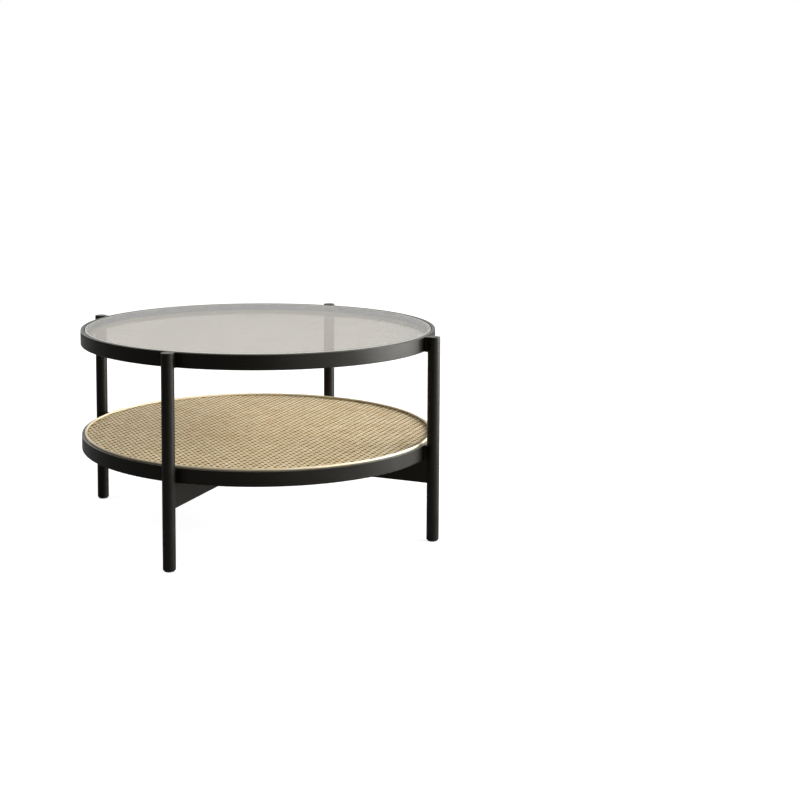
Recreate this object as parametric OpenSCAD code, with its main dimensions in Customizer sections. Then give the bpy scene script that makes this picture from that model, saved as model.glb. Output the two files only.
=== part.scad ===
// Round two-tier coffee table: black-painted bentwood hoops on four round
// legs, a loose glass top over an open cane panel, and a cane-covered shelf.
// Legs stand on the X and Y axes; the origin is on the floor at the centre.

/* [Overall] */
// Outside diameter of both hoops
hoop_d = 800; // [700:10:900]
// Height of the leg tops above the floor
table_h = 447; // [400:1:520]
// Step from the leg tops down to the top of the upper hoop
leg_proud = 1; // [0:0.5:4]
// Height of the top of the lower hoop above the floor
shelf_h = 210; // [180:5:260]

/* [Hoops] */
// Height of a hoop
hoop_h = 32; // [29:1:40]
// Radial width of a hoop and its ledge ring together
hoop_w = 18; // [16:1:24]
// Radial width of the upper hoop, the rim beside the glass
upper_rim_w = 8; // [6:0.5:9]
// Radial width of the lower hoop, the rim beside the shelf
lower_rim_w = 6.5; // [5:0.5:8]
// Height of the ledge ring between the glass and the cane panel
ledge_h = 12; // [11.5:0.5:13]
// Thickness of the glue between a hoop and its ledge ring
glue_gap = 0.1; // [0.05:0.05:0.3]
// Rounding of a hoop's outer edges
hoop_edge_r = 1.5; // [0.5:0.25:2.5]

/* [Glass] */
// Thickness of the glass top
glass_t = 6; // [5:0.5:6.5]
// Gap all round between the glass and the rim
glass_gap = 2; // [0.5:0.25:3]
// Rounding of the polished glass edge
glass_edge_r = 1; // [0.5:0.25:2]
// Diameter of a clear pad under the glass
pad_d = 5; // [4:0.5:6]
// Thickness of a clear pad
pad_t = 1; // [0.5:0.25:1.5]
// Number of pads
pad_count = 8; // [6:1:12]

/* [Cane] */
// Thickness of the woven cane
cane_t = 1.6; // [1:0.1:2]
// Gap between a cane panel's edge and the hoop round it
cane_gap = 0.4; // [0.2:0.1:1]
// Setback of the retaining ring from the upper hoop's underside
ring_setback = 1.4; // [0.5:0.1:2]
// Gap between the retaining ring and the hoop round it
ring_gap = 0.3; // [0.2:0.1:0.6]
// Depth that a retaining screw bites into the ledge
ring_screw_bite = 6; // [4:0.5:9]

/* [Shelf] */
// Thickness of the shelf board
board_t = 9; // [6:0.5:10]
// Gap between the shelf board and the rim round it
board_gap = 0.5; // [0.3:0.1:1]
// Step from the lower hoop's top down to the woven cane's top
cane_step = 0.4; // [0:0.1:1]
// Diameter of the round reed bead
bead_d = 5; // [4:0.25:6]
// Depth of the flat on the bead's underside
bead_flat = 0.2; // [0.1:0.05:0.5]
// Gap on each side of the bead, to the rim and to the raised cane
bead_gap = 0.1; // [0.1:0.05:0.5]
// Thickness of the cane's edge where it is pressed flat under the bead
cane_edge_t = 1.3; // [0.5:0.1:1.4]
// Depth that a shelf screw bites into the shelf board
shelf_screw_bite = 5; // [4:0.5:5.5]
// Depth that a shelf screw is sunk into the lower ledge ring
shelf_screw_sink = 4; // [2:0.5:6]
// Number of screws round each deck
deck_screws = 8; // [4:4:16]

/* [Legs] */
// Diameter of a leg
leg_d = 27; // [25:0.5:32]
// Gap between a hoop and the leg, bridged by a spacer
leg_gap = 5; // [3:0.5:8]
// Rounding of the leg's top and bottom edges
leg_edge_r = 1.2; // [0.5:0.1:2]
// Width of a spacer block
spacer_w = 16; // [13:0.5:16.5]
// Depth of the flat on the leg where a spacer seats
spacer_seat = 3; // [2:0.25:4]
// Rounding of a spacer block's corners
spacer_edge_r = 1; // [0.5:0.25:2]
// Diameter of a foot glide
glide_d = 22; // [18:0.5:24]
// Thickness of a foot glide
glide_t = 3; // [2:0.25:5]
// Rounding of a glide's rim
glide_edge_r = 0.75; // [0.25:0.05:0.9]
// Diameter of a glide's stem
glide_stem_d = 5; // [4:0.5:6]
// Length of a glide's stem
glide_stem_l = 16; // [10:1:25]

/* [Cross boards] */
// Thickness of a cross board
cross_t = 18; // [15:0.5:18.5]
// Height of a cross board
cross_h = 50; // [40:1:60]
// Depth of the housing in the leg that takes a board's end
housing_d = 5; // [4:0.25:6]
// Distance from a board's end to its barrel nut
nut_inset = 18; // [14:0.5:24]
// Wood left over the tip of the screw through the lap
lap_screw_cover = 10; // [6:1:14]

/* [Hardware] */
// Diameter of a connector bolt
bolt_d = 6; // [5:0.5:6]
// Diameter of a clearance hole for a bolt
bolt_hole_d = 6.6; // [6.4:0.1:7]
// Diameter of a connector bolt's head
bolt_head_d = 10; // [9:0.5:10.5]
// Height of a connector bolt's head
bolt_head_h = 3; // [2:0.25:4]
// Size across the flats of a bolt's hex socket
socket_af = 4; // [3:0.5:5]
// Depth of the hex socket
socket_depth = 2; // [1:0.25:2]
// Depth of the flat cut in the ledge ring under a bolt head
spot_depth = 0.5; // [0.25:0.25:1]
// Depth that a bolt bites into its insert
bolt_bite = 9.5; // [7:0.5:11]
// Outside diameter of a threaded insert
insert_d = 10; // [9:0.5:11]
// Length of a threaded insert
insert_l = 12; // [11.5:0.5:14]
// Diameter of a barrel nut
nut_d = 10; // [9:0.5:11]
// Length of a barrel nut
nut_l = 16; // [12:1:20]
// Length of a dowel bolt inside the cross board
dowel_board_l = 26; // [24:1:32]
// Length of a dowel bolt inside the leg
dowel_leg_l = 14; // [10:0.5:15]
// Diameter of a wood screw's shank
screw_d = 3.5; // [3:0.25:4]
// Diameter of a wood screw's countersunk head
screw_head_d = 7; // [6:0.5:8]
// Clearance round a thread or a stem in its hole
thread_gap = 0.05; // [0.02:0.01:0.1]

/* [Hidden] */

$fn = 96;
ROUND = 180;          // facets shown on the large rings
CUT = 1;              // overshoot of a cut past the face it opens
RIGHT = 0; BACK = 90; LEFT = 180; FRONT = 270;   // directions of the legs
SIDES = [RIGHT, BACK, LEFT, FRONT];

hoop_r = hoop_d / 2;
leg_r = leg_d / 2;
leg_c = hoop_r + leg_gap + leg_r;         // distance of a leg's axis from the centre
leg_inner = leg_c - leg_r;                // nearest point of a leg to the centre
seat_x = leg_inner + spacer_seat;         // flat where a spacer seats
housing_x = leg_inner + housing_d;        // floor of a cross board's housing
inner_r = hoop_r - hoop_w;                // inside radius of both hoops

upper_z = table_h - leg_proud;            // top of the upper hoop
glass_r = hoop_r - upper_rim_w - glass_gap;
seat_z = upper_z - glass_t - pad_t;       // ledge under the pads
cane_z = seat_z - ledge_h;                // underside of the ledge, top of the upper cane
upper_bottom = upper_z - hoop_h;
ring_h = cane_z - cane_t - upper_bottom - ring_setback;
upper_bolt_z = seat_z - ledge_h / 2;
pad_circle_r = (inner_r + glass_r) / 2;

shelf_cane_z = shelf_h - cane_step;       // top of the shelf's woven cane
board_z = shelf_cane_z - cane_t;          // top of the shelf board
shelf_seat_z = board_z - board_t;         // ledge under the shelf board
lower_bottom = shelf_h - hoop_h;
lower_bolt_z = (shelf_seat_z + lower_bottom) / 2;
board_r = hoop_r - lower_rim_w - board_gap;
bead_circle_r = hoop_r - lower_rim_w - bead_gap - bead_d / 2;
shelf_screw_r = (inner_r + board_r) / 2;
ring_screw_r = (inner_r + hoop_r - upper_rim_w) / 2;

cross_z = lower_bottom - cross_h;         // underside of the cross boards
dowel_z = cross_z + cross_h / 2;          // axis of the dowel bolts
nut_x = housing_x - nut_inset;            // axis of a barrel nut
lap_head_h = (screw_head_d - screw_d) / 2;   // height of a countersunk head
lap_screw_l = cross_h - lap_screw_cover;
bolt_l = hoop_w - spot_depth + leg_gap + spacer_seat + bolt_bite;

BLACK = [0.07, 0.07, 0.065];
CANE = [0.82, 0.70, 0.50];
REED = [0.90, 0.83, 0.66];
BOARD = [0.35, 0.25, 0.16];
ZINC = [0.70, 0.70, 0.68];

// ---- helpers ----

// Puts children, drawn on the +X side, at each leg.
module at_legs() {
    for (a = SIDES) rotate(a) children();
}

// Puts copies of the children on a circle, half a step away from the legs.
module round_deck(count, radius) {
    for (i = [0 : count - 1]) rotate((i + 0.5) * 360 / count) translate([radius, 0, 0]) children();
}

// Outline of a bar from x0 to x1 and z0 to z1, its corners at x1 rounded.
module bar_outline(x0, x1, z0, z1, r) {
    translate([x0, z0]) square([x1 - x0 - r, z1 - z0]);
    translate([x0, z0 + r]) square([x1 - x0, z1 - z0 - 2 * r]);
    for (z = [z0 + r, z1 - r]) translate([x1 - r, z]) circle(r, $fn = 48);
}

// Block with rounded upright corners, from x0 to x1, w wide and centred on Y.
module rounded_block(x0, x1, w, h, r) {
    linear_extrude(h) {
        translate([x0, r - w / 2]) square([x1 - x0, w - 2 * r]);
        translate([x0 + r, -w / 2]) square([x1 - x0 - r, w]);
        for (y = [r - w / 2, w / 2 - r]) translate([x0 + r, y]) circle(r, $fn = 48);
    }
}

// Cylinder along +X from x0 to x1 at height z.
module rod_x(x0, x1, z, d) {
    translate([x0, 0, z]) rotate([0, 90, 0]) cylinder(d = d, h = x1 - x0);
}

// Countersunk wood screw pointing up, its head's flat at z = 0.
module wood_screw(len) {
    cylinder(d1 = screw_head_d, d2 = screw_d, h = lap_head_h);
    cylinder(d = screw_d, h = len);
}

// Hole for a wood screw pointing up from z = 0, open below by sink.
module screw_hole(len, sink) {
    cylinder(d1 = screw_head_d + 2 * thread_gap, d2 = screw_d + 2 * thread_gap, h = lap_head_h);
    cylinder(d = screw_d + 2 * thread_gap, h = len + thread_gap);
    translate([0, 0, -sink - CUT]) cylinder(d = screw_head_d + 2 * thread_gap, h = sink + CUT);
}

// Clearance hole and flat for a hoop bolt, from inside the ledge ring outward.
module hoop_bolt_hole(z) {
    rod_x(inner_r - CUT, hoop_r + CUT, z, bolt_hole_d);
    rod_x(inner_r - CUT, inner_r + spot_depth, z, bolt_head_d + 2 * thread_gap);
}

// Threaded bore for a bolt, shown plain.
module thread_bore(x0, x1, z, d) {
    rod_x(x0, x1, z, d + 2 * thread_gap);
}

// ---- decks ----

module upper_hoop() {
    color(BLACK) difference() {
        rotate_extrude($fn = ROUND)
            bar_outline(hoop_r - upper_rim_w, hoop_r, upper_bottom, upper_z, hoop_edge_r);
        at_legs() hoop_bolt_hole(upper_bolt_z);
    }
}

module upper_ledge_ring() {
    color(BLACK) difference() {
        rotate_extrude($fn = ROUND)
            translate([inner_r, cane_z]) square([hoop_w - upper_rim_w - glue_gap, ledge_h]);
        at_legs() hoop_bolt_hole(upper_bolt_z);
        round_deck(deck_screws, ring_screw_r)
            translate([0, 0, cane_z - CUT])
                cylinder(d = screw_d + 2 * thread_gap, h = ring_screw_bite + CUT + thread_gap);
    }
}

module lower_hoop() {
    color(BLACK) difference() {
        rotate_extrude($fn = ROUND)
            bar_outline(hoop_r - lower_rim_w, hoop_r, lower_bottom, shelf_h, hoop_edge_r);
        at_legs() hoop_bolt_hole(lower_bolt_z);
    }
}

module lower_ledge_ring() {
    color(BLACK) difference() {
        rotate_extrude($fn = ROUND)
            translate([inner_r, lower_bottom])
                square([hoop_w - lower_rim_w - glue_gap, shelf_seat_z - lower_bottom]);
        at_legs() hoop_bolt_hole(lower_bolt_z);
        round_deck(deck_screws, shelf_screw_r)
            translate([0, 0, lower_bottom + shelf_screw_sink])
                screw_hole(hoop_h, shelf_screw_sink);
    }
}

module glass_top() {
    color([0.80, 0.88, 0.86, 0.4]) rotate_extrude($fn = ROUND)
        bar_outline(0, glass_r, upper_z - glass_t, upper_z, glass_edge_r);
}

module glass_pads() {
    color([0.9, 0.9, 0.9]) round_deck(pad_count, pad_circle_r)
        translate([0, 0, seat_z]) cylinder(d = pad_d, h = pad_t);
}

module upper_cane_panel() {
    color(CANE) difference() {
        translate([0, 0, cane_z - cane_t])
            cylinder(r = hoop_r - upper_rim_w - cane_gap, h = cane_t, $fn = ROUND);
        round_deck(deck_screws, ring_screw_r)
            translate([0, 0, cane_z - cane_t - CUT])
                cylinder(d = screw_d + 2 * thread_gap, h = cane_t + 2 * CUT);
    }
}

module retaining_ring() {
    ring_z = upper_bottom + ring_setback;
    color(BLACK) difference() {
        rotate_extrude($fn = ROUND) translate([inner_r, ring_z])
            square([hoop_w - upper_rim_w - ring_gap, ring_h]);
        round_deck(deck_screws, ring_screw_r)
            translate([0, 0, ring_z]) screw_hole(hoop_h, 0);
    }
}

module retaining_screws() {
    color(ZINC) round_deck(deck_screws, ring_screw_r)
        translate([0, 0, upper_bottom + ring_setback])
            wood_screw(ring_h + cane_t + ring_screw_bite);
}

module shelf_board() {
    color(BOARD) difference() {
        translate([0, 0, shelf_seat_z]) cylinder(r = board_r, h = board_t, $fn = ROUND);
        round_deck(deck_screws, shelf_screw_r)
            translate([0, 0, shelf_seat_z - CUT])
                cylinder(d = screw_d + 2 * thread_gap, h = shelf_screw_bite + CUT + thread_gap);
    }
}

// The weave stands up inside the bead, and its edge runs on under the bead.
module shelf_cane_panel() {
    color(CANE) translate([0, 0, board_z]) {
        cylinder(r = hoop_r - lower_rim_w - cane_gap, h = cane_edge_t, $fn = ROUND);
        cylinder(r = bead_circle_r - bead_d / 2 - bead_gap, h = cane_t, $fn = ROUND);
    }
}

// Round reed with a small flat, which lies on the pressed edge of the cane.
module shelf_bead() {
    foot_z = board_z + cane_edge_t;
    color(REED) rotate_extrude($fn = ROUND) intersection() {
        translate([bead_circle_r, foot_z - bead_flat + bead_d / 2]) circle(d = bead_d, $fn = 48);
        translate([bead_circle_r - bead_d, foot_z]) square(2 * bead_d);
    }
}

module shelf_screws() {
    color(ZINC) round_deck(deck_screws, shelf_screw_r)
        translate([0, 0, lower_bottom + shelf_screw_sink])
            wood_screw(shelf_seat_z - lower_bottom - shelf_screw_sink + shelf_screw_bite);
}

// ---- cross boards ----

// One board along X, with the holes for its dowel bolts and barrel nuts.
module cross_board() {
    difference() {
        translate([-housing_x, -cross_t / 2, cross_z]) cube([2 * housing_x, cross_t, cross_h]);
        for (a = [RIGHT, LEFT]) rotate(a) {
            thread_bore(housing_x - dowel_board_l - thread_gap, housing_x + CUT, dowel_z, bolt_d);
            translate([nut_x, 0, cross_z - CUT])
                cylinder(d = nut_d + 2 * thread_gap, h = dowel_z - cross_z + nut_l / 2 + CUT);
        }
        translate([0, 0, cross_z]) screw_hole(lap_screw_l, 0);
    }
}

// Half of the lap at the centre, from height z0 to z1.
module lap_cut(z0, z1) {
    translate([-cross_t / 2, -cross_t, z0]) cube([cross_t, 2 * cross_t, z1 - z0]);
}

module cross_board_left_right() {
    color(BLACK) difference() {
        cross_board();
        lap_cut(dowel_z, lower_bottom + CUT);
    }
}

module cross_board_front_back() {
    color(BLACK) difference() {
        rotate(BACK) cross_board();
        rotate(BACK) lap_cut(cross_z - CUT, dowel_z);
    }
}

module cross_lap_screw() {
    color(ZINC) translate([0, 0, cross_z]) wood_screw(lap_screw_l);
}

// ---- legs ----

module leg(side) {
    color(BLACK) rotate(side) difference() {
        translate([leg_c, 0, 0]) rotate_extrude()
            bar_outline(0, leg_r, glide_t, table_h, leg_edge_r);
        for (z = [upper_bottom, lower_bottom])
            translate([seat_x - leg_d, -leg_d / 2, z]) cube([leg_d, leg_d, hoop_h]);
        translate([housing_x - leg_d, -cross_t / 2, cross_z]) cube([leg_d, cross_t, cross_h]);
        for (z = [upper_bolt_z, lower_bolt_z])
            rod_x(seat_x - CUT, seat_x + insert_l + thread_gap, z, insert_d + 2 * thread_gap);
        thread_bore(housing_x - CUT, housing_x + dowel_leg_l + thread_gap, dowel_z, bolt_d);
        translate([leg_c, 0, glide_t - CUT])
            cylinder(d = glide_stem_d + 2 * thread_gap, h = glide_stem_l + CUT + thread_gap);
    }
}

module glide(side) {
    color([0.10, 0.10, 0.10]) rotate(side) translate([leg_c, 0, 0]) {
        rotate_extrude() bar_outline(0, glide_d / 2, 0, glide_t, glide_edge_r);
        cylinder(d = glide_stem_d, h = glide_t + glide_stem_l);
    }
}

module spacer(side, bottom, bolt_z) {
    color(BLACK) rotate(side) difference() {
        translate([0, 0, bottom]) rounded_block(hoop_r, seat_x, spacer_w, hoop_h, spacer_edge_r);
        rod_x(hoop_r - CUT, seat_x + CUT, bolt_z, bolt_hole_d);
    }
}

// ---- hardware ----

// Bolt with a low round head inside the ledge ring and a hex socket.
module hoop_bolt(z) {
    head_x = inner_r + spot_depth;
    difference() {
        union() {
            rod_x(head_x - bolt_head_h, head_x, z, bolt_head_d);
            rod_x(head_x, head_x + bolt_l, z, bolt_d);
        }
        translate([head_x - bolt_head_h - CUT, 0, z]) rotate([0, 90, 0])
            cylinder(d = socket_af / cos(30), h = socket_depth + CUT, $fn = 6);
    }
}

module upper_hoop_bolts() {
    color(BLACK) at_legs() hoop_bolt(upper_bolt_z);
}

module lower_hoop_bolts() {
    color(BLACK) at_legs() hoop_bolt(lower_bolt_z);
}

module leg_inserts() {
    color([0.78, 0.62, 0.30]) at_legs() for (z = [upper_bolt_z, lower_bolt_z]) difference() {
        rod_x(seat_x, seat_x + insert_l, z, insert_d);
        thread_bore(seat_x - CUT, seat_x + insert_l + CUT, z, bolt_d);
    }
}

module board_dowel_bolts() {
    color(ZINC) at_legs() rod_x(housing_x - dowel_board_l, housing_x + dowel_leg_l, dowel_z, bolt_d);
}

module barrel_nuts() {
    color(ZINC) at_legs() difference() {
        translate([nut_x, 0, dowel_z - nut_l / 2]) cylinder(d = nut_d, h = nut_l);
        thread_bore(nut_x - nut_d, nut_x + nut_d, dowel_z, bolt_d);
    }
}

upper_hoop();
upper_ledge_ring();
lower_hoop();
lower_ledge_ring();
glass_top();
glass_pads();
upper_cane_panel();
retaining_ring();
retaining_screws();
shelf_board();
shelf_cane_panel();
shelf_bead();
shelf_screws();
cross_board_left_right();
cross_board_front_back();
cross_lap_screw();
leg(FRONT);  // leg_front
leg(RIGHT);  // leg_right
leg(BACK);  // leg_back
leg(LEFT);  // leg_left
glide(FRONT);  // glide_front
glide(RIGHT);  // glide_right
glide(BACK);  // glide_back
glide(LEFT);  // glide_left
spacer(FRONT, upper_bottom, upper_bolt_z);  // upper_spacer_front
spacer(RIGHT, upper_bottom, upper_bolt_z);  // upper_spacer_right
spacer(BACK, upper_bottom, upper_bolt_z);  // upper_spacer_back
spacer(LEFT, upper_bottom, upper_bolt_z);  // upper_spacer_left
spacer(FRONT, lower_bottom, lower_bolt_z);  // lower_spacer_front
spacer(RIGHT, lower_bottom, lower_bolt_z);  // lower_spacer_right
spacer(BACK, lower_bottom, lower_bolt_z);  // lower_spacer_back
spacer(LEFT, lower_bottom, lower_bolt_z);  // lower_spacer_left
upper_hoop_bolts();
lower_hoop_bolts();
leg_inserts();
board_dowel_bolts();
barrel_nuts();
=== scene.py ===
"""Looks of the round two-tier table: woven cane, glass, black wood, light and camera."""
import math

import bpy
import numpy as np
from mathutils import Matrix, Vector


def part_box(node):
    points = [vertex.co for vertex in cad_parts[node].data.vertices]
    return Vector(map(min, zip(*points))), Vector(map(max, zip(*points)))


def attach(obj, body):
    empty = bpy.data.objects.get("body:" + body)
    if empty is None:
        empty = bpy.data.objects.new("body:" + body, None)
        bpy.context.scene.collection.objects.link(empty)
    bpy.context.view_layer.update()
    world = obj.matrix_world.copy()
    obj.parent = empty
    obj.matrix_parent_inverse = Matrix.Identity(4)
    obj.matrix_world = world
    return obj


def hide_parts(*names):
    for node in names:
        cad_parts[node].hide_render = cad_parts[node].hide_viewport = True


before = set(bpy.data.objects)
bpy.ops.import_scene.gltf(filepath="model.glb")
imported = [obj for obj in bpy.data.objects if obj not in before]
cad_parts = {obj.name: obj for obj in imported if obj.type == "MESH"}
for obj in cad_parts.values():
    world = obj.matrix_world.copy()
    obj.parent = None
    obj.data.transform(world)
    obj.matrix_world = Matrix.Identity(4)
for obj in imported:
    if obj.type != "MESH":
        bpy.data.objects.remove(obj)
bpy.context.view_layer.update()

SEED = 7
RING_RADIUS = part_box("upper_hoop")[1].x
GLASS_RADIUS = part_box("glass_top")[1].x

# Woven cane, in metres
PITCH = 0.01375            # from one pair of strands to the next
PAIR_HALF = 0.0022         # from the middle of a pair to a strand's middle
STRAND_W = 0.0019          # width of a strand
STRAND_T = 0.00022         # thickness of a strand
WIDTH_RANGE = (0.94, 1.06) # shares of that width between which strands vary
LAYERS = 3                 # thicknesses that the crossing strands take up in all
OUTER_RING = 2.3           # half pairs from a crossing's middle to its outermost cross-section
STEEPNESS = 2.2            # how sharply a diagonal strand changes from over to under
RINGS_PER_DIAGONAL = 6     # cross-sections in one wave of a diagonal strand
LEAST_STEP = 0.0004        # least distance from a strand's end to the next cross-section
END_GAP = 0.0002           # from a strand's end to the panel's edge
WANDER = 0.00012           # how far a strand strays sideways
WANDER_LENGTH = 0.045      # length of one stray
BEAD_D = 0.005             # width of the bead round the shelf
PRESS_IN = 0.0012          # width of the band over which the shelf's cane is pressed down

# Glass, in metres
ARRIS = 0.0020             # width of the ground edge
ARRIS_BLEND = 0.0003       # width over which it fades into the clear glass
GLASS_IOR = 1.5

# Floor and room
FLOOR = 0.34               # how much light the floor throws back
FLOOR_SPREAD = 0.01        # how far its tone varies
FLOOR_LIFT = (0.84, 0.96)  # added for the camera near the table and far away
FLOOR_LIFT_AT = (1.0, 4.0) # where near ends and far away begins, in metres
FLOOR_SIZE = 60.0
AMBIENT = 0.30             # brightness of the soft light from all round
BACKDROP = 0.50            # brightness of the pale wall behind the table, in reflections
ROOM = 0.09                # brightness of the rest of the room, in reflections
WALL_EDGE = (0.40, 0.80)   # from the room to the wall, as cosines of the angle off the middle of the wall
WALL_TOP = 3.0             # how much brighter that wall is higher up
WALL_RISE = (0.18, 0.55)   # from low to high on the wall, as sines of the angle above level
LAMP_AIM = (0, 0, 0.3)     # point of the table that the lamps face

# Camera, as fitted to the view of the photographed table
CAMERA_AT = (1.3403, -2.7881, 0.8951)
CAMERA_AZIMUTH = -25.009   # degrees, from +Y towards +X
CAMERA_DOWN = 5.166
CAMERA_ROLL = -0.147
CAMERA_LENS = 61.82        # millimetres, on a sensor of CAMERA_SENSOR
CAMERA_SENSOR = 36.0
CAMERA_SHIFT = (0.1579, -0.1858)


# ---- node helpers ----

class Nodes:
    """A material's or world's node tree with short calls for adding nodes and links."""

    def __init__(self, tree):
        self.tree = tree
        tree.nodes.clear()

    def add(self, kind, inputs=None, **settings):
        """Adds a node. inputs maps a socket's name or index to a value or to another node's output."""
        node = self.tree.nodes.new(kind)
        for key, value in settings.items():
            setattr(node, key, value)
        for key, value in (inputs or {}).items():
            if isinstance(value, bpy.types.NodeSocket):
                self.tree.links.new(value, node.inputs[key])
            else:
                node.inputs[key].default_value = value
        return node

    def math(self, operation, a, b=0.0):
        return self.add("ShaderNodeMath", {0: a, 1: b}, operation=operation).outputs[0]

    def place(self):
        """The object's own coordinates."""
        return self.add("ShaderNodeTexCoord").outputs["Object"]

    def axis_distance(self, x, y):
        """Distance from the table's middle axis."""
        squares = self.math("ADD", self.math("MULTIPLY", x, x), self.math("MULTIPLY", y, y))
        return self.math("SQRT", squares)

    def mix(self, factor, a, b):
        """Mixes two colours."""
        node = self.add("ShaderNodeMix", {0: factor, 6: a, 7: b}, data_type="RGBA")
        return node.outputs[2]

    def span(self, value, low, high, to_low, to_high):
        """Maps low..high onto to_low..to_high."""
        return self.add(
            "ShaderNodeMapRange", {0: value, 1: low, 2: high, 3: to_low, 4: to_high}
        ).outputs[0]

    def noise(self, vector, scale, detail, roughness=0.5):
        return self.add(
            "ShaderNodeTexNoise",
            {"Vector": vector, "Scale": scale, "Detail": detail, "Roughness": roughness},
        ).outputs["Fac"]

    def bump(self, height, distance, strength):
        return self.add(
            "ShaderNodeBump", {"Height": height, "Distance": distance, "Strength": strength}
        ).outputs["Normal"]


def rgba(r, g, b):
    return (r, g, b, 1.0)


def new_material(name):
    material = bpy.data.materials.new(name)
    material.use_nodes = True
    return material, Nodes(material.node_tree)


def close_material(nodes, shader):
    nodes.add("ShaderNodeOutputMaterial", {"Surface": shader})


def along(nodes, direction, fine, coarse):
    """Coordinates stretched along a piece's grain: coarse steps along it, fine steps across."""
    place = nodes.place()
    if direction == "ring":
        x, y, z = nodes.add("ShaderNodeSeparateXYZ", {0: place}).outputs
        arc = nodes.math("MULTIPLY", nodes.math("ARCTAN2", y, x), RING_RADIUS * coarse)
        out = nodes.math("MULTIPLY", nodes.axis_distance(x, y), fine)
        up = nodes.math("MULTIPLY", z, fine)
        return nodes.add("ShaderNodeCombineXYZ", {0: arc, 1: out, 2: up}).outputs[0]
    turns = {"x": 0.0, "y": -math.pi / 2, "z": 0.0, "rising": -math.pi / 4, "falling": math.pi / 4}
    turned = nodes.add("ShaderNodeMapping", {"Vector": place, "Rotation": (0, 0, turns[direction])})
    scale = (fine, fine, coarse) if direction == "z" else (coarse, fine, fine)
    return nodes.add("ShaderNodeMapping", {"Vector": turned.outputs[0], "Scale": scale}).outputs[0]


# ---- materials ----

PAINT_GLOSS = rgba(1.0, 0.99, 0.92)
BOARD_GLOSS = rgba(1.0, 0.92, 0.72)    # the boards' paint shines a little browner
# painted sheen: a paler colour for up-facing faces, standing in for the reflection seen across them
PAINTED_TOP_SHEEN = rgba(0.062, 0.063, 0.052)
TOP_FACING_SPAN = (0.3, 0.95)    # upward part of a face's direction, from no painted sheen to full painted sheen and smoothing
TOP_SMOOTHING = 0.20     # what the smoothing on up-facing faces takes off the roughness


def black_wood(direction, gloss_tint):
    """Satin black paint with a little grain showing. Where it looks up it is smoother and paler; the paler
    colour is a painted sheen standing in for reflected light.
    """
    material, nodes = new_material("black_wood_" + direction)
    grain = nodes.noise(along(nodes, direction, 900.0, 14.0), 1.0, 4.0, 0.6)
    place = nodes.place()
    cloud = nodes.noise(place, 22.0, 3.0)
    speck = nodes.noise(place, 1800.0, 2.0)
    height = nodes.math("ADD", nodes.math("MULTIPLY", grain, 0.8), nodes.math("MULTIPLY", speck, 0.2))
    normal = nodes.add("ShaderNodeNewGeometry").outputs["Normal"]
    upward = nodes.add("ShaderNodeSeparateXYZ", {0: normal}).outputs["Z"]
    evenness = nodes.span(cloud, 0.3, 0.7, 0.7, 1.0)
    # mask of up-facing faces that get the painted sheen and the smoother finish
    top_sheen_and_polish = nodes.math("MULTIPLY", nodes.span(upward, *TOP_FACING_SPAN, 0.0, 1.0), evenness)
    cloud_rough = nodes.span(cloud, 0.3, 0.7, 0.33, 0.41)
    rough = nodes.math("ADD", cloud_rough, nodes.span(grain, 0.3, 0.7, -0.02, 0.03))
    paint = nodes.mix(grain, rgba(0.0026, 0.0021, 0.0014), rgba(0.0066, 0.0053, 0.0037))
    shader = nodes.add(
        "ShaderNodeBsdfPrincipled",
        {
            "Base Color": nodes.mix(top_sheen_and_polish, paint, PAINTED_TOP_SHEEN),
            "Roughness": nodes.math("SUBTRACT", rough, nodes.math("MULTIPLY", top_sheen_and_polish, TOP_SMOOTHING)),
            "Specular IOR Level": 0.155,
            "Specular Tint": gloss_tint,
            "Normal": nodes.bump(height, 0.00006, 0.6),
        },
    )
    close_material(nodes, shader.outputs[0])
    return material


def woven_cane(direction):
    """Peeled rattan bark: pale straw with fine streaks along the strand and a light gloss."""
    material, nodes = new_material("woven_cane_" + direction)
    streak = nodes.noise(along(nodes, direction, 2600.0, 30.0), 1.0, 3.0, 0.6)
    tone = nodes.noise(along(nodes, direction, 330.0, 14.0), 1.0, 2.0)
    spot = nodes.noise(along(nodes, direction, 300.0, 60.0), 1.0, 2.0, 0.6)
    tone = nodes.span(tone, 0.36, 0.64, 0.0, 1.0)
    base = nodes.mix(tone, rgba(0.60, 0.42, 0.18), rgba(0.95, 0.86, 0.61))
    base = nodes.mix(nodes.span(streak, 0.35, 0.75, 0.0, 0.30), base, rgba(0.48, 0.33, 0.14))
    base = nodes.mix(nodes.span(spot, 0.70, 0.80, 0.0, 0.5), base, rgba(0.30, 0.17, 0.06))
    shader = nodes.add(
        "ShaderNodeBsdfPrincipled",
        {
            "Base Color": base,
            "Roughness": nodes.span(streak, 0.3, 0.7, 0.34, 0.48),
            "Specular IOR Level": 0.5,
            "Normal": nodes.bump(streak, 0.00006, 0.6),
        },
    )
    close_material(nodes, shader.outputs[0])
    return material


def reed_bead():
    """Smooth pale reed that follows the rim."""
    material, nodes = new_material("reed_bead")
    streak = nodes.noise(along(nodes, "ring", 2200.0, 18.0), 1.0, 3.0, 0.6)
    tone = nodes.noise(along(nodes, "ring", 150.0, 6.0), 1.0, 2.0)
    tone = nodes.span(tone, 0.3, 0.7, 0.0, 1.0)
    base = nodes.mix(tone, rgba(0.54, 0.445, 0.285), rgba(0.66, 0.585, 0.42))
    base = nodes.mix(nodes.span(streak, 0.45, 0.8, 0.0, 0.4), base, rgba(0.50, 0.35, 0.17))
    shader = nodes.add(
        "ShaderNodeBsdfPrincipled",
        {
            "Base Color": base,
            "Roughness": nodes.span(streak, 0.3, 0.7, 0.28, 0.40),
            "Specular IOR Level": 0.7,
            "Normal": nodes.bump(streak, 0.00005, 0.5),
        },
    )
    close_material(nodes, shader.outputs[0])
    return material


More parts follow.
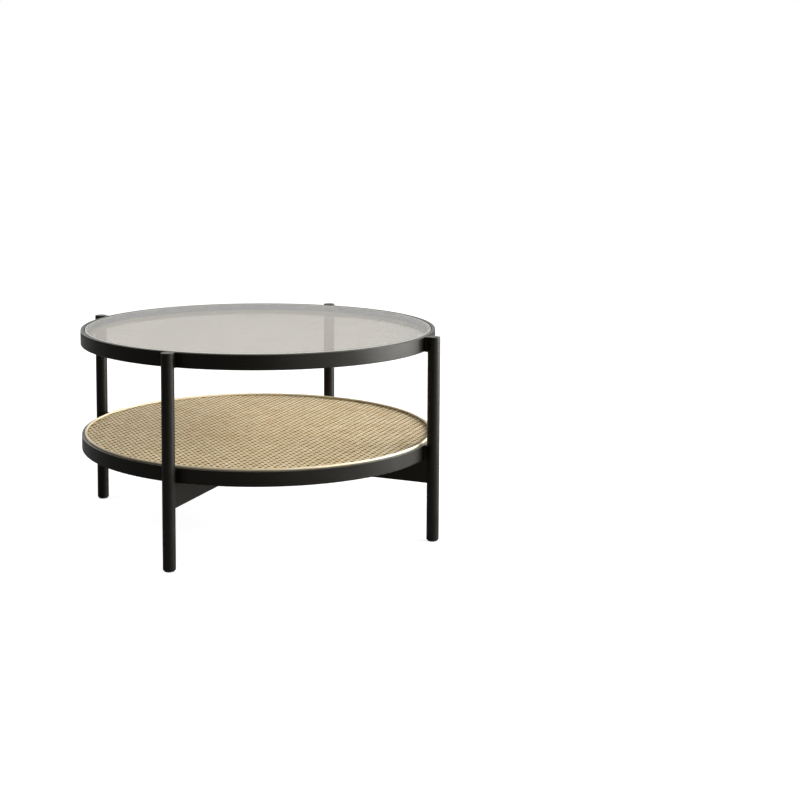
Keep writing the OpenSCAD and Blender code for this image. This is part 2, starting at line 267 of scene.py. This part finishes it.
def stained_board():
    """Dark stained plywood seen through the holes of the cane."""
    material, nodes = new_material("stained_board")
    grain = nodes.noise(along(nodes, "x", 420.0, 9.0), 1.0, 5.0, 0.65)
    tone = nodes.span(grain, 0.3, 0.7, 0.0, 1.0)
    base = nodes.mix(tone, rgba(0.016, 0.007, 0.002), rgba(0.042, 0.020, 0.006))
    shader = nodes.add(
        "ShaderNodeBsdfPrincipled",
        {
            "Base Color": base,
            "Specular IOR Level": 0.1,
            "Roughness": nodes.span(grain, 0.3, 0.7, 0.80, 0.95),
            "Normal": nodes.bump(grain, 0.00015, 0.6),
        },
    )
    close_material(nodes, shader.outputs[0])
    return material


def clear_glass():
    """Clear glass with faint smears and a ground edge that glows faintly, a painted highlight. It dims the
    light that falls through it.
    """
    material, nodes = new_material("clear_glass")
    place = nodes.place()
    smear = nodes.noise(place, 9.0, 4.0, 0.6)
    glass = nodes.add(
        "ShaderNodeBsdfPrincipled",
        {
            "Base Color": rgba(0.925, 0.918, 0.880),
            "Roughness": nodes.span(smear, 0.45, 0.75, 0.005, 0.05),
            "IOR": GLASS_IOR,
            "Transmission Weight": 1.0,
        },
    )
    x, y, _ = nodes.add("ShaderNodeSeparateXYZ", {0: place}).outputs
    inner = GLASS_RADIUS - ARRIS
    ground = nodes.span(nodes.axis_distance(x, y), inner - ARRIS_BLEND, inner, 0.0, 0.8)
    arris_with_painted_glow = nodes.add(
        "ShaderNodeBsdfPrincipled",
        {
            "Base Color": rgba(0.86, 0.88, 0.80),
            "Roughness": 0.35,
            "Emission Color": rgba(1.0, 1.0, 0.86),     # painted glow: the ground edge emits light as a painted highlight
            "Emission Strength": 0.35,
        },
    )
    glass = nodes.add("ShaderNodeMixShader", {0: ground, 1: glass.outputs[0], 2: arris_with_painted_glow.outputs[0]})
    front = nodes.math("SUBTRACT", 1.0, nodes.add("ShaderNodeNewGeometry").outputs["Backfacing"])
    fresnel = nodes.add("ShaderNodeFresnel", {"IOR": GLASS_IOR}).outputs[0]
    passed = nodes.math("SUBTRACT", 1.0, nodes.math("MULTIPLY", front, fresnel))
    passed = nodes.math("MULTIPLY", passed, passed)
    dimmed = nodes.mix(passed, rgba(0, 0, 0), rgba(0.72, 0.71, 0.68))
    clear = nodes.add("ShaderNodeBsdfTransparent", {"Color": dimmed})
    shadow = nodes.add("ShaderNodeLightPath").outputs["Is Shadow Ray"]
    shader = nodes.add("ShaderNodeMixShader", {0: shadow, 1: glass.outputs[0], 2: clear.outputs[0]})
    close_material(nodes, shader.outputs[0])
    return material


def clear_rubber():
    material, nodes = new_material("clear_rubber")
    place = nodes.place()
    cloud = nodes.noise(place, 900.0, 2.0)
    shader = nodes.add(
        "ShaderNodeBsdfPrincipled",
        {
            "Base Color": nodes.mix(cloud, rgba(0.70, 0.71, 0.69), rgba(0.82, 0.82, 0.80)),
            "Roughness": nodes.span(cloud, 0.3, 0.7, 0.25, 0.4),
            "Transmission Weight": 0.6,
            "IOR": 1.43,
        },
    )
    close_material(nodes, shader.outputs[0])
    return material


def metal(name, dark, light, rough):
    """Plated or plain metal with fine turning marks and mottling."""
    material, nodes = new_material(name)
    place = nodes.place()
    cloud = nodes.noise(place, 300.0, 4.0, 0.6)
    marks = nodes.noise(along(nodes, "z", 600.0, 9000.0), 1.0, 2.0)
    shader = nodes.add(
        "ShaderNodeBsdfPrincipled",
        {
            "Base Color": nodes.mix(cloud, rgba(*dark), rgba(*light)),
            "Metallic": 1.0,
            "Roughness": nodes.span(cloud, 0.3, 0.7, rough - 0.06, rough + 0.08),
            "Normal": nodes.bump(marks, 0.00003, 0.5),
        },
    )
    close_material(nodes, shader.outputs[0])
    return material


def glide_plastic():
    material, nodes = new_material("glide_plastic")
    place = nodes.place()
    speck = nodes.noise(place, 1500.0, 3.0)
    shader = nodes.add(
        "ShaderNodeBsdfPrincipled",
        {
            "Base Color": nodes.mix(speck, rgba(0.010, 0.010, 0.010), rgba(0.022, 0.022, 0.022)),
            "Roughness": nodes.span(speck, 0.3, 0.7, 0.5, 0.65),
            "Normal": nodes.bump(speck, 0.00004, 0.5),
        },
    )
    close_material(nodes, shader.outputs[0])
    return material


def paint_cad(material, *names):
    """Gives CAD nodes a material by their objects' material slots."""
    for name in names:
        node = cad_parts[name]
        if not node.material_slots:
            node.data.materials.append(None)
        for slot in node.material_slots:
            slot.material = material


# ---- woven cane ----

SECTION = (          # outline of a strand, in widths across and thicknesses up
    (-0.40, -0.50), (0.40, -0.50), (0.50, -0.10), (0.26, 0.50), (-0.26, 0.50), (-0.50, -0.10),
)


class Panel:
    """One round panel of woven cane: its radius and the height of its layers."""

    def __init__(self, node, pressed_from=None, pressed_to=1.0):
        low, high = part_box(node)
        self.node = node
        self.radius = high.x
        self.bottom = low.z
        self.middle = low.z + LAYERS / 2 * STRAND_T
        self.pressed_from = pressed_from       # radius from which the edge is fully pressed down
        self.pressed_to = pressed_to           # share of the thickness left there

    def press(self, points):
        """Lowers the points near the edge, over a band of PRESS_IN inside pressed_from."""
        if self.pressed_from is None:
            return points
        out = np.hypot(points[:, 0], points[:, 1])
        share = np.clip((out - self.pressed_from) / PRESS_IN + 1.0, 0.0, 1.0)
        keep = 1.0 + (self.pressed_to - 1.0) * share
        points[:, 2] = self.bottom + (points[:, 2] - self.bottom) * keep
        return points


def pair_wave(u):
    """Height of a paired strand at a crossing pair, -1 to 1: up on one strand, down on the other."""
    return u / PAIR_HALF * np.exp(0.5 * (1.0 - (u / PAIR_HALF) ** 2))


def pair_stations(half):
    """Places along a paired strand where it has a cross-section."""
    steps = np.array([-OUTER_RING * PAIR_HALF, -PAIR_HALF, PAIR_HALF, OUTER_RING * PAIR_HALF])
    count = int(half / PITCH) + 1
    places = (np.arange(-count, count + 1)[:, None] * PITCH + steps).ravel()
    return np.concatenate([[-half], places[np.abs(places) < half - LEAST_STEP], [half]])


def diagonal_wave(s):
    """Height of a diagonal strand, from -1 to 1: over one family of pairs and under the other."""
    return np.tanh(STEEPNESS * np.cos(2 * math.pi * s / PITCH)) / math.tanh(STEEPNESS)


def diagonal_stations(low, high):
    """Places along a diagonal strand where it has a cross-section."""
    step = PITCH / RINGS_PER_DIAGONAL
    places = np.arange(math.ceil(low / step), math.floor(high / step) + 1) * step
    inside = (places > low + LEAST_STEP) & (places < high - LEAST_STEP)
    return np.concatenate([[low], places[inside], [high]])


def paired_strands(panel, axis, side):
    """Middle lines of the strands on one side (+1 or -1) of all pairs that run along an axis."""
    count = int(panel.radius / PITCH) + 1
    for n in range(-count, count + 1):
        offset = n * PITCH + side * PAIR_HALF
        if abs(offset) > panel.radius - STRAND_W:
            continue
        half = math.sqrt((panel.radius - END_GAP) ** 2 - (abs(offset) + STRAND_W / 2) ** 2)
        s = pair_stations(half)
        near = s - np.round(s / PITCH) * PITCH
        up = 0.5 * side * pair_wave(near)
        flat = np.full_like(s, offset)
        if axis == "y":
            yield np.stack([flat, s], 1), up, np.array([1.0, 0.0])
        else:
            yield np.stack([s, flat], 1), -up, np.array([0.0, 1.0])


def diagonal_strands(panel, slope):
    """Middle lines of all diagonal strands of one slope, half a pitch off the pairs' crossings."""
    count = int(panel.radius * math.sqrt(2) / PITCH) + 1
    reach = panel.radius - END_GAP
    for n in range(-count, count):
        offset = (n + 0.5) * PITCH
        far = abs(offset) / math.sqrt(2) + STRAND_W / 2
        if far > reach - STRAND_W:
            continue
        half = math.sqrt((reach**2 - far**2) / 2)
        middle = -slope * offset / 2
        s = diagonal_stations(middle - half, middle + half)
        yield (
            np.stack([s, slope * s + offset], 1),
            slope * diagonal_wave(s),
            np.array([slope, -1.0]) / math.sqrt(2),
        )


def strand_points(panel, line, up, aside, rng):
    """Corners of one strand, cross-section after cross-section. It strays a little sideways."""
    start = rng.uniform(0, 2 * math.pi)
    width = rng.uniform(*WIDTH_RANGE)
    across = np.array([p[0] for p in SECTION]) * STRAND_W
    upward = np.array([p[1] for p in SECTION]) * STRAND_T
    run = np.concatenate([[0.0], np.cumsum(np.linalg.norm(np.diff(line, axis=0), axis=1))])
    stray = WANDER * np.sin(2 * math.pi * run / WANDER_LENGTH + start)
    flat = line[:, None, :] + (across[None, :, None] * width + stray[:, None, None]) * aside
    height = panel.middle + STRAND_T * up[:, None] + upward[None, :]
    return np.concatenate([flat, height[:, :, None]], 2).reshape(-1, 3)


def strand_faces(first, rings):
    """Faces along one strand and its two end caps, from the number of its first corner on."""
    sides = len(SECTION)
    ring = first + np.arange(rings - 1)[:, None] * sides
    corner = ring + np.arange(sides)[None, :]
    next_corner = ring + (np.arange(sides)[None, :] + 1) % sides
    quads = np.stack([corner, next_corner, next_corner + sides, corner + sides], 2).reshape(-1, 4)
    start_cap = first + np.arange(sides)[::-1]
    end_cap = first + (rings - 1) * sides + np.arange(sides)
    return quads, [start_cap, end_cap]


def mesh_of(name, points, quads, caps):
    """Mesh that is smooth along the strands and flat on their ends."""
    mesh = bpy.data.meshes.new(name)
    mesh.vertices.add(len(points))
    mesh.vertices.foreach_set("co", points.astype(np.float32).ravel())
    corners = np.concatenate([quads.ravel(), caps.ravel()])
    cap_starts = quads.size + np.arange(len(caps)) * len(SECTION)
    starts = np.concatenate([np.arange(len(quads)) * 4, cap_starts])
    mesh.loops.add(len(corners))
    mesh.loops.foreach_set("vertex_index", corners.astype(np.int32))
    mesh.polygons.add(len(starts))
    mesh.polygons.foreach_set("loop_start", starts.astype(np.int32))
    mesh.polygons.foreach_set("use_smooth", np.arange(len(starts)) < len(quads))
    mesh.update(calc_edges=True)
    mesh.validate()
    return mesh


def strands_mesh(name, panel, strands, rng):
    """One mesh of closed strands with the SECTION outline along the given middle lines."""
    points, quads, caps, first = [], [], [], 0
    for line, up, aside in strands:
        points.append(strand_points(panel, line, up, aside, rng))
        strand_quads, strand_caps = strand_faces(first, len(line))
        quads.append(strand_quads)
        caps.extend(strand_caps)
        first += len(line) * len(SECTION)
    return mesh_of(name, panel.press(np.concatenate(points)), np.concatenate(quads), np.array(caps))


def weave(panel, prefix, materials):
    """All strands of a panel, one piece for each family of strands."""
    rng = np.random.default_rng(SEED)
    families = (
        ("warp_left", paired_strands(panel, "y", -1), "y"),
        ("warp_right", paired_strands(panel, "y", 1), "y"),
        ("weft_front", paired_strands(panel, "x", -1), "x"),
        ("weft_back", paired_strands(panel, "x", 1), "x"),
        ("diagonal_rising", diagonal_strands(panel, 1), "rising"),
        ("diagonal_falling", diagonal_strands(panel, -1), "falling"),
    )
    for family, strands, direction in families:
        name = prefix + "_" + family
        piece = bpy.data.objects.new(name, strands_mesh(name, panel, strands, rng))
        bpy.context.scene.collection.objects.link(piece)
        piece.data.materials.append(materials[direction])
        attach(piece, "frame")
        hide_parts(panel.node)


# ---- stage, light and camera ----

def floor_material():
    """Pale floor that looks white to the camera outside the table's shadow."""
    material, nodes = new_material("floor")
    place = nodes.place()
    cloud = nodes.noise(place, 2.0, 2.0)
    darker, lighter = FLOOR - FLOOR_SPREAD, FLOOR + FLOOR_SPREAD
    tone = nodes.mix(cloud, rgba(darker, darker, darker), rgba(lighter, lighter, lighter))
    pale = nodes.add("ShaderNodeBsdfDiffuse", {"Color": tone})
    away = nodes.add("ShaderNodeVectorMath", {0: place}, operation="LENGTH").outputs["Value"]
    strength = nodes.span(away, *FLOOR_LIFT_AT, *FLOOR_LIFT)
    lift = nodes.add("ShaderNodeEmission", {"Color": rgba(1, 1, 1), "Strength": strength})
    both = nodes.add("ShaderNodeAddShader", {0: pale.outputs[0], 1: lift.outputs[0]})
    path = nodes.add("ShaderNodeLightPath").outputs
    seen = nodes.math("MAXIMUM", path["Is Camera Ray"], path["Is Transmission Ray"])
    top = nodes.add("ShaderNodeMixShader", {0: seen, 1: pale.outputs[0], 2: both.outputs[0]})
    below = nodes.add("ShaderNodeNewGeometry").outputs["Backfacing"]
    clear = nodes.add("ShaderNodeBsdfTransparent")
    shader = nodes.add("ShaderNodeMixShader", {0: below, 1: top.outputs[0], 2: clear.outputs[0]})
    close_material(nodes, shader.outputs[0])
    return material


def build_floor():
    bpy.ops.mesh.primitive_plane_add(size=FLOOR_SIZE, location=(0, 0, 0))
    floor = bpy.context.object
    floor.name = "floor"
    floor.data.materials.append(floor_material())


def build_world():
    """White to the camera, a pale wall behind the table in reflections, a soft grey for lighting."""
    world = bpy.data.worlds.new("world")
    bpy.context.scene.world = world
    world.use_nodes = True
    nodes = Nodes(world.node_tree)
    path = nodes.add("ShaderNodeLightPath").outputs
    unscattered = nodes.math("LESS_THAN", path["Diffuse Depth"], 0.5)
    mirrored = nodes.math("MULTIPLY", path["Is Glossy Ray"], unscattered)
    through = nodes.math("MULTIPLY", path["Is Transmission Ray"], unscattered)
    turn = math.radians(CAMERA_AZIMUTH)
    way = nodes.add("ShaderNodeTexCoord").outputs["Generated"]
    ahead = (math.sin(turn), math.cos(turn), 0.0)
    behind = nodes.add("ShaderNodeVectorMath", {0: way, 1: ahead}, operation="DOT_PRODUCT").outputs["Value"]
    upward = nodes.add("ShaderNodeSeparateXYZ", {0: way}).outputs["Z"]
    brighter = nodes.span(upward, *WALL_RISE, 1.0, WALL_TOP)
    wall = nodes.math("MULTIPLY", nodes.span(behind, *WALL_EDGE, ROOM, BACKDROP), brighter)
    soft = nodes.add("ShaderNodeBackground", {"Color": rgba(1, 1, 1), "Strength": AMBIENT})
    pale = nodes.add("ShaderNodeBackground", {"Color": rgba(1.0, 0.99, 0.98), "Strength": wall})
    white = nodes.add("ShaderNodeBackground", {"Color": rgba(1, 1, 1), "Strength": 1.0})
    mixed = nodes.add("ShaderNodeMixShader", {0: mirrored, 1: soft.outputs[0], 2: pale.outputs[0]})
    seen = nodes.math("MAXIMUM", path["Is Camera Ray"], through)
    mixed = nodes.add("ShaderNodeMixShader", {0: seen, 1: mixed.outputs[0], 2: white.outputs[0]})
    nodes.add("ShaderNodeOutputWorld", {"Surface": mixed.outputs[0]})


def all_but_glass():
    """Collection that keeps the lamps' light off the glass top, so that none glares in it."""
    lit = bpy.data.collections.new("lit_by_lamps")
    lit.objects.link(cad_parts["glass_top"])
    lit.collection_objects[0].light_linking.link_state = "EXCLUDE"
    return lit


def soft_box(name, azimuth, distance, height, size, power):
    """Area lamp aimed at the table. Azimuth in degrees from +X towards +Y."""
    lamp = bpy.data.lights.new(name, "AREA")
    lamp.shape = "RECTANGLE"
    lamp.size, lamp.size_y = size
    lamp.energy = power
    box = bpy.data.objects.new(name, lamp)
    bpy.context.scene.collection.objects.link(box)
    turn = math.radians(azimuth)
    box.location = (distance * math.cos(turn), distance * math.sin(turn), height)
    aim = Vector(LAMP_AIM) - box.location
    box.rotation_euler = aim.to_track_quat("-Z", "Y").to_euler()
    box.light_linking.receiver_collection = LIT


def build_camera():
    camera = bpy.data.cameras.new("camera")
    camera.lens = CAMERA_LENS
    camera.sensor_width = CAMERA_SENSOR
    camera.shift_x, camera.shift_y = CAMERA_SHIFT
    camera.clip_end = 100.0
    holder = bpy.data.objects.new("camera", camera)
    bpy.context.scene.collection.objects.link(holder)
    turn, down, roll = (math.radians(v) for v in (CAMERA_AZIMUTH, CAMERA_DOWN, CAMERA_ROLL))
    level = math.cos(down)
    forward = Vector((math.sin(turn) * level, math.cos(turn) * level, -math.sin(down)))
    right = Vector((math.cos(turn), -math.sin(turn), 0))
    up = right.cross(forward)
    right, up = right * math.cos(roll) + up * math.sin(roll), up * math.cos(roll) - right * math.sin(roll)
    place = Matrix((right, up, -forward)).transposed().to_4x4()
    place.translation = CAMERA_AT
    holder.matrix_world = place
    bpy.context.scene.camera = holder


# ---- put together ----

bpy.context.scene.view_settings.view_transform = "Standard"
build_camera()
build_world()
build_floor()
LIT = all_but_glass()
soft_box("key", azimuth=24.7, distance=4.0, height=1.12, size=(3.1, 2.2), power=620.0)
soft_box("side", azimuth=-27.0, distance=3.0, height=0.90, size=(2.4, 1.8), power=40.0)
soft_box("rim", azimuth=150.0, distance=3.0, height=1.1, size=(1.6, 1.8), power=11.0)
soft_box("high", azimuth=-154.3, distance=2.5, height=2.7, size=(1.5, 1.5), power=31.0)
soft_box("top", azimuth=116.0, distance=0.6, height=2.7, size=(2.0, 2.0), power=2.0)

rings = ("upper_hoop", "lower_hoop", "upper_ledge_ring", "lower_ledge_ring", "retaining_ring")
uprights = [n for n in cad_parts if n.startswith(("leg_", "upper_spacer_", "lower_spacer_"))]
uprights.remove("leg_inserts")
paint_cad(black_wood("ring", PAINT_GLOSS), *rings)
paint_cad(black_wood("z", PAINT_GLOSS), *uprights)
paint_cad(black_wood("x", BOARD_GLOSS), "cross_board_left_right")
paint_cad(black_wood("y", BOARD_GLOSS), "cross_board_front_back")
paint_cad(clear_glass(), "glass_top")
paint_cad(clear_rubber(), "glass_pads")
paint_cad(reed_bead(), "shelf_bead")
paint_cad(stained_board(), "shelf_board")
paint_cad(
    metal("zinc_steel", (0.50, 0.50, 0.49), (0.66, 0.66, 0.63), 0.32),
    "retaining_screws", "shelf_screws", "cross_lap_screw", "board_dowel_bolts", "barrel_nuts",
)
paint_cad(
    metal("black_steel", (0.020, 0.020, 0.022), (0.050, 0.050, 0.052), 0.42),
    "upper_hoop_bolts", "lower_hoop_bolts",
)
paint_cad(metal("insert_brass", (0.55, 0.38, 0.12), (0.72, 0.52, 0.20), 0.30), "leg_inserts")
paint_cad(glide_plastic(), *(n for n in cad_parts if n.startswith("glide_")))

cane = {direction: woven_cane(direction) for direction in ("x", "y", "rising", "falling")}
weave(Panel("upper_cane_panel"), "upper_cane", cane)
bead_low, bead_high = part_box("shelf_bead")
shelf_low, shelf_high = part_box("shelf_cane_panel")
weave(
    Panel(
        "shelf_cane_panel",
        pressed_from=bead_high.x - BEAD_D,
        pressed_to=(bead_low.z - shelf_low.z) / (shelf_high.z - shelf_low.z),
    ),
    "shelf_cane",
    cane,
)
